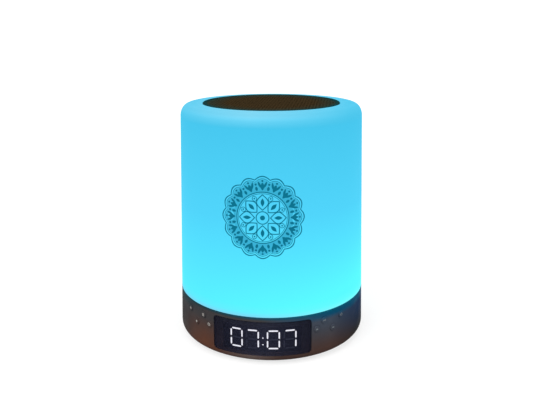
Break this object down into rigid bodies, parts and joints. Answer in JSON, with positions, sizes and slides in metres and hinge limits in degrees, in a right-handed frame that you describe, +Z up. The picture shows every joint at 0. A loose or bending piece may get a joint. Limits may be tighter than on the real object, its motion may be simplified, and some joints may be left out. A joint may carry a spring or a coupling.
{
  "type": "speaker lamp",
  "caption": "Cylindrical cordless speaker lamp with a lit shade, a loudspeaker grille in its crown and a base with a clock display, keys and rear sockets.",
  "frame": {"origin": "on the floor under the middle of the body", "axes": "+Z up, the clock display faces -Y, +X to the right as seen from the front"},
  "size_m": [0.1018, 0.1018, 0.1261],
  "materials": {
    "shade": "frosted translucent plastic shown lit cyan, paler towards the foot",
    "base_plastic": "satin dark brown-grey moulded plastic",
    "button_plastic": "satin plastic like the base, with a pale printed sign on each",
    "grille_metal": "dark brown painted perforated sheet",
    "window": "smoked glossy window",
    "display_black": "matt black display block with lit white segments",
    "white_plastic": "white satin plastic that throws the light outwards",
    "foot_rubber": "matt black silicone",
    "screw_steel": "plated steel",
    "board": "green lacquered circuit board",
    "socket_metal": "plated socket shells",
    "black_plastic": "black plastic",
    "radio_can": "small radio board, blue lacquer",
    "cell_wrap": "shrink-wrapped round cell",
    "driver_frame": "black painted pressed steel",
    "driver_iron": "plated iron",
    "driver_ferrite": "dull grey ferrite",
    "cone_paper": "black pressed paper",
    "surround_rubber": "soft black rubber",
    "spider_cloth": "corrugated resin-dipped cloth",
    "coil_copper": "lacquered copper winding",
    "contact_brass": "springy brass leaf"
  },
  "bodies": {
    "lamp_body": {"shade": "shade", "base_shell": "base_plastic", "bottom_cover": "base_plastic", "grille": "grille_metal", "display_window": "window", "display_reflector": "display_black", "base_deck": "white_plastic", "speaker_column": "white_plastic", "foot_ring": "foot_rubber", "cover_screw_1": "screw_steel", "cover_screw_2": "screw_steel", "cover_screw_3": "screw_steel", "cover_screw_4": "screw_steel", "deck_screw_1": "screw_steel", "deck_screw_2": "screw_steel", "deck_screw_3": "screw_steel", "deck_screw_4": "screw_steel", "column_screw_1": "screw_steel", "column_screw_2": "screw_steel", "column_screw_3": "screw_steel", "driver_screw_1": "screw_steel", "driver_screw_2": "screw_steel", "driver_screw_3": "screw_steel", "driver_screw_4": "screw_steel", "board_screw_1": "screw_steel", "board_screw_2": "screw_steel", "main_board": "board", "key_board_left": "board", "key_board_right": "board", "display_board": "board", "led_board": "board", "usb_socket": "socket_metal", "card_socket": "socket_metal", "switch_body": "socket_metal", "aux_jack": "black_plastic", "battery_holder": "black_plastic", "radio_module": "radio_can", "battery_cell": "cell_wrap", "driver_basket": "driver_frame", "driver_top_plate": "driver_iron", "driver_yoke": "driver_iron", "driver_magnet": "driver_ferrite", "speaker_surround": "surround_rubber", "speaker_spider": "spider_cloth", "touch_contact": "contact_brass"},
    "light_key": {"light_button": "button_plastic"},
    "alarm_key": {"alarm_button": "button_plastic"},
    "mode_key": {"mode_button": "button_plastic"},
    "clock_key": {"clock_button": "button_plastic"},
    "repeat_key": {"repeat_button": "button_plastic"},
    "next_key": {"next_button": "button_plastic"},
    "play_key": {"play_button": "button_plastic"},
    "previous_key": {"previous_button": "button_plastic"},
    "cone_assembly": {"speaker_cone": "cone_paper", "dust_cap": "cone_paper", "voice_coil": "coil_copper"},
    "power_slider": {"switch_knob": "black_plastic"}
  },
  "joints": [
    {"name": "light_press", "type": "slide", "parent": "lamp_body", "child": "light_key", "axis": [0.7784, 0.6278, 0], "range_m": [0, 0.00035], "stiffness_N_per_m": 1500},
    {"name": "alarm_press", "type": "slide", "parent": "lamp_body", "child": "alarm_key", "axis": [0.696, 0.7181, 0], "range_m": [0, 0.00035], "stiffness_N_per_m": 1500},
    {"name": "mode_press", "type": "slide", "parent": "lamp_body", "child": "mode_key", "axis": [0.6129, 0.7902, 0], "range_m": [0, 0.00035], "stiffness_N_per_m": 1500},
    {"name": "clock_press", "type": "slide", "parent": "lamp_body", "child": "clock_key", "axis": [0.5432, 0.8396, 0], "range_m": [0, 0.00035], "stiffness_N_per_m": 1500},
    {"name": "repeat_press", "type": "slide", "parent": "lamp_body", "child": "repeat_key", "axis": [-0.7784, 0.6278, 0], "range_m": [0, 0.00035], "stiffness_N_per_m": 1500},
    {"name": "next_press", "type": "slide", "parent": "lamp_body", "child": "next_key", "axis": [-0.696, 0.7181, 0], "range_m": [0, 0.00035], "stiffness_N_per_m": 1500},
    {"name": "play_press", "type": "slide", "parent": "lamp_body", "child": "play_key", "axis": [-0.6129, 0.7902, 0], "range_m": [0, 0.00035], "stiffness_N_per_m": 1500},
    {"name": "previous_press", "type": "slide", "parent": "lamp_body", "child": "previous_key", "axis": [-0.5432, 0.8396, 0], "range_m": [0, 0.00035], "stiffness_N_per_m": 1500},
    {"name": "cone_travel", "type": "slide", "parent": "lamp_body", "child": "cone_assembly", "axis": [0, 0, 1], "range_m": [-0.0008, 0.0008], "stiffness_N_per_m": 900, "deforming": ["speaker_surround", "speaker_spider"]},
    {"name": "power_slide", "type": "slide", "parent": "lamp_body", "child": "power_slider", "axis": [0.8616, -0.5076, 0], "range_m": [0, 0.002]}
  ]
}
